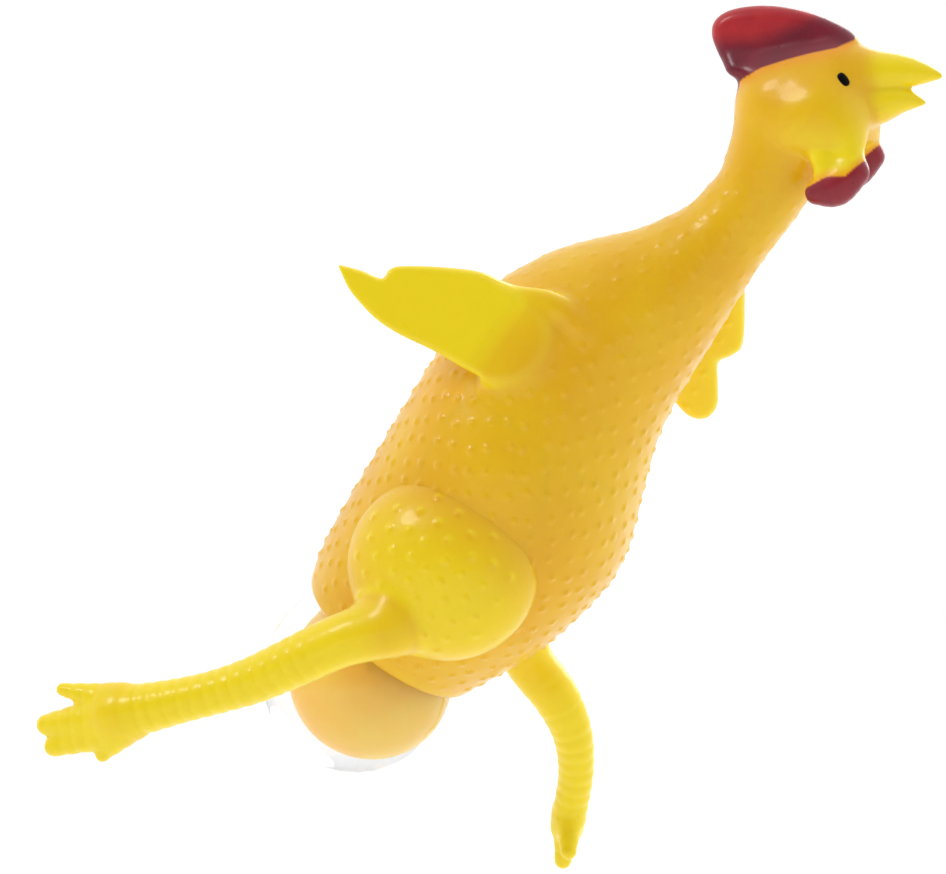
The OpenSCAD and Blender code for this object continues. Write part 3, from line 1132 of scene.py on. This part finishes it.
def make_flank(side, sign):
    """The patch of skin that bulges out when the egg is drawn in."""
    at = torso_point(0.5, sign * FLANK_CUT, 2.0)
    bm = cut_off(moulding, at, (0, sign, 0), torso_point(0, sign * 24, 5), FLANK_CUT_REACH)
    piece = moulded_piece(f"flank_{side}_skin", bm, whole, skin, [f"flank_{side}"])
    blend(piece)


def make_torso():
    """What is left of the moulding."""
    piece = moulded_piece("torso_skin", moulding, whole, skin, ["torso_shell"])
    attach(piece, "torso")


for side, sign in SIDES.items():
    make_flank(side, sign)
make_torso()


# ---------------------------------------------------------------- legs

LEG_MARGIN = 7
THIGH_PIMPLED = 0.85
THIGH_PIMPLE_SIZE = 0.9
FOOT_CUT_REACH = 14.0


def leg_grid(side, sign):
    """The leg's field, with pimples on the thigh."""
    path = np.array(LEG_PATHS[side])[:, :3]
    toes = np.array(TOES[side])[..., :3].reshape(-1, 3)
    thigh = np.array(THIGH_AT) * [1, sign, 1]
    every = np.vstack([path, toes, thigh - THIGH_RADII, thigh + THIGH_RADII])
    grid = Grid(lambda p: leg(p, side), every.min(0) - LEG_MARGIN, every.max(0) + LEG_MARGIN)
    places = spread_on_dome(thigh, np.array(THIGH_RADII), sign, THIGH_PIMPLED, PIMPLE_GAP)
    places = places[np.abs(leg(places, side)) < 0.6]
    add_pimples(grid, places, np.full(len(places), THIGH_PIMPLE_SIZE))
    return grid


def make_leg(side, sign):
    """Two pieces that part halfway down the shank, between the hock and the ankle."""
    grid = leg_grid(side, sign)
    leg_bm = to_bmesh(*grid.mesh())
    hock = hinge_at(f"hock_{side}_bend")
    ankle = hinge_at(f"ankle_{side}_bend")
    path = np.array(LEG_PATHS[side])[:, :3]
    seam = path[np.argmin(np.linalg.norm(path - (hock + ankle) / 2, axis=1))]
    down = (ankle - hock) / np.linalg.norm(ankle - hock)
    last_toe_tip = np.array(TOES[side][-1][-1][:3])
    foot_bm = cut_off(leg_bm, seam, down, last_toe_tip, FOOT_CUT_REACH)
    piece = moulded_piece(f"leg_{side}_skin", leg_bm, grid, skin, [f"thigh_{side}", f"shank_{side}"])
    blend(piece)
    piece = moulded_piece(f"foot_{side}_skin", foot_bm, grid, skin, [f"foot_{side}"])
    blend(piece)


for side, sign in SIDES.items():
    make_leg(side, sign)


# ---------------------------------------------------------------- eyes, bubble and yolk


def lathe(name, profile, axis_at, axis, turns):
    """A closed turned shape. Profile rows are radius and height along the axis."""
    bm = bmesh.new()
    rings = []
    for radius, height in profile:
        if radius < 1e-6:
            rings.append([bm.verts.new((0, 0, height))])
            continue
        rings.append([
            bm.verts.new((radius * math.cos(a), radius * math.sin(a), height))
            for a in np.arange(turns) * 2 * math.pi / turns
        ])
    for low, high in zip(rings, rings[1:]):
        for i in range(turns):
            j = (i + 1) % turns
            corners = [low[i % len(low)], low[j % len(low)], high[j % len(high)], high[i % len(high)]]
            bm.faces.new(list(dict.fromkeys(corners)))
    bmesh.ops.recalc_face_normals(bm, faces=bm.faces[:])
    mesh = bpy.data.meshes.new(name)
    bm.to_mesh(mesh)
    bm.free()
    turn = Vector(axis).to_track_quat("Z", "Y").to_matrix()
    for vertex in mesh.vertices:
        vertex.co = (turn @ vertex.co + Vector(axis_at)) * MM
    shade_smooth(mesh)
    return into_scene(name, mesh)


EYE_AT = (64.5, 8.4, 74.5)
EYE_SIZE = (0.86, 0.5, 1.28)
EYE_TILT = math.radians(36)
EYE_SQUARE = 0.6
EYE_SUNK = 0.12


def make_eye(side, sign):
    """A tall rounded dot that lies flat on the head."""
    spot = whole.settle(np.array([EYE_AT]) * [1, sign, 1], 8)
    profile = [(math.sin(a) ** EYE_SQUARE, -math.cos(a)) for a in np.linspace(0, math.pi, 25)]
    profile[-1] = (0, 1)
    piece = lathe(f"eye_{side}_dot", profile, (0, 0, 0), (0, 0, 1), turns=48)
    across = Vector(whole.slope(spot)[0])
    up = Vector((-math.sin(EYE_TILT), 0, math.cos(EYE_TILT)))
    up = (up - across * up.dot(across)).normalized()
    forward = up.cross(across)
    centre = Vector(spot[0]) - across * EYE_SUNK
    for vertex in piece.data.vertices:
        v = vertex.co / MM
        vertex.co = (centre + forward * v.x * EYE_SIZE[0] + across * v.y * EYE_SIZE[1]
                     + up * v.z * EYE_SIZE[2]) * MM
    piece.data.materials.append(eye_black)
    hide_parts(f"eye_{side}")
    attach(piece, "head")


for side, sign in SIDES.items():
    make_eye(side, sign)

BUBBLE_R = 17.5
BUBBLE_S = -43.1
BUBBLE_NECK_R = 15.2
BUBBLE_TOP = LIP_S + 0.6


def make_bubble():
    """The bag's bulge out of the vent: most of a ball on a short straight neck."""
    neck_angle = math.pi - math.asin(BUBBLE_NECK_R / BUBBLE_R)
    profile = [
        (BUBBLE_R * math.sin(a), BUBBLE_S - BUBBLE_R * math.cos(a))
        for a in np.linspace(0, neck_angle, 60)
    ]
    profile += [(BUBBLE_NECK_R, BUBBLE_TOP), (0, BUBBLE_TOP)]
    bubble = lathe("egg_bubble_skin", profile, (0, 0, 0), along, turns=128)
    bubble.data.materials.append(bubble_clear)
    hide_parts("egg_bubble", "egg_white")
    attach(bubble, "torso")
    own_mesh(bubble)


make_bubble()

YOLK_R = 11.7
YOLK_PEAR = 0.012
YOLK_SHIFT = (1.6, 0.0, -2.4)


def make_yolk():
    """The yolk ball, a touch wider towards the vent. It lies a little off its CAD place."""
    low, high = node_box("yolk_ball")
    profile = [
        (YOLK_R * math.sin(a) * (1 + YOLK_PEAR * math.sin(2 * a)), -YOLK_R * math.cos(a))
        for a in np.linspace(0, math.pi, 65)
    ]
    yolk = lathe("yolk_soft", profile, (low + high) / 2 + torso_point(*YOLK_SHIFT), along, turns=96)
    yolk.data.materials.append(yolk_orange)
    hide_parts("yolk_ball")
    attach(yolk, "yolk")


make_yolk()

# The CAD nodes inside the torso are kept as they are, with materials of their own.
for node, material in (("bladder", bag_clear), ("bladder_plug", bag_clear), ("water_fill", water_clear)):
    mesh = frame["nodes"][node].data
    mesh.materials.clear()
    mesh.materials.append(material)


# ---------------------------------------------------------------- stage, light and camera

CAMERA_AZIMUTH = math.radians(18)
CAMERA_ELEVATION = math.radians(5)
CAMERA_AWAY = 550.0
AIM_RIGHT = -4.1
AIM_UP = 11.0
SENSOR = 36.0
LENS = 116.28


def add_camera():
    """The camera, at the angle and distance above, aimed a little beside the row frame's origin."""
    to_camera = np.array([
        math.sin(CAMERA_AZIMUTH) * math.cos(CAMERA_ELEVATION),
        -math.cos(CAMERA_AZIMUTH) * math.cos(CAMERA_ELEVATION),
        math.sin(CAMERA_ELEVATION),
    ])
    camera_right = np.array([math.cos(CAMERA_AZIMUTH), math.sin(CAMERA_AZIMUTH), 0])
    camera_up = np.cross(to_camera, camera_right)
    aim = AIM_RIGHT * camera_right + AIM_UP * camera_up
    camera = bpy.data.objects.new("camera", bpy.data.cameras.new("camera"))
    bpy.context.scene.collection.objects.link(camera)
    camera.data.lens = LENS
    camera.data.sensor_width = SENSOR
    camera.data.clip_start = 0.01
    camera.location = (aim + CAMERA_AWAY * to_camera) * MM
    camera.rotation_euler = (-Vector(to_camera)).to_track_quat("-Z", "Y").to_euler()
    bpy.context.scene.camera = camera


add_camera()

FLOOR_DROP = 0.16


def floor_and_backdrop():
    """A pale floor that curves up into a backdrop."""
    half_width = 6.0
    near = -6.0
    far = 2.5
    bend = 1.2
    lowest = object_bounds()[0]
    floor_z = lowest.z - FLOOR_DROP
    top = 6.0
    rows = [(near, 0.0)]
    for a in np.linspace(0, math.pi / 2, 24):
        rows.append((far + bend * math.sin(a), bend * (1 - math.cos(a))))
    rows.append((far + bend, top))
    verts = [(x, y, floor_z + z) for y, z in rows for x in (-half_width, half_width)]
    faces = [(2 * i, 2 * i + 1, 2 * i + 3, 2 * i + 2) for i in range(len(rows) - 1)]
    mesh = bpy.data.meshes.new("floor")
    mesh.from_pydata(verts, [], faces)
    shade_smooth(mesh)
    mesh.materials.append(pale("floor_pale", (0.9, 0.9, 0.9, 1)))
    floor = into_scene("floor", mesh)


floor_and_backdrop()


def soft_light(name, place, size, power):
    """A round lamp aimed at the row frame's origin, in metres and watts."""
    data = bpy.data.lights.new(name, "AREA")
    data.shape = "DISK"
    data.size = size
    data.energy = power
    light = bpy.data.objects.new(name, data)
    bpy.context.scene.collection.objects.link(light)
    light.location = place
    light.rotation_euler = (-Vector(place)).to_track_quat("-Z", "Y").to_euler()


soft_light("key", (-0.75, -0.75, 0.95), 0.45, 4.6)
soft_light("rim", (0.3, 0.9, 0.5), 0.9, 6.0)

bpy.context.scene.view_settings.view_transform = "Standard"


# The room's strength as light, in front of the toy and behind it.
ROOM_FRONT = 0.34
ROOM_BACK = 1.4


def studio_light():
    """A pale room for the camera. As light it is brightest behind the toy and dim in front of it."""
    world = bpy.data.worlds.new("studio")
    world.use_nodes = True
    nodes = world.node_tree.nodes
    links = world.node_tree.links
    background = nodes["Background"]
    direction = nodes.new("ShaderNodeTexCoord")
    split = nodes.new("ShaderNodeSeparateXYZ")
    links.new(direction.outputs["Generated"], split.inputs["Vector"])
    level = nodes.new("ShaderNodeMapRange")
    level.inputs["From Min"].default_value = -0.9
    level.inputs["From Max"].default_value = 0.5
    level.inputs["To Min"].default_value = ROOM_FRONT
    level.inputs["To Max"].default_value = ROOM_BACK
    links.new(split.outputs["Y"], level.inputs["Value"])
    seen = nodes.new("ShaderNodeLightPath")
    choose = nodes.new("ShaderNodeMix")
    links.new(seen.outputs["Is Camera Ray"], choose.inputs["Factor"])
    links.new(level.outputs["Result"], choose.inputs["A"])
    choose.inputs["B"].default_value = 1.0
    links.new(choose.outputs["Result"], background.inputs["Strength"])
    background.inputs["Color"].default_value = (1, 1, 1, 1)
    bpy.context.scene.world = world


studio_light()
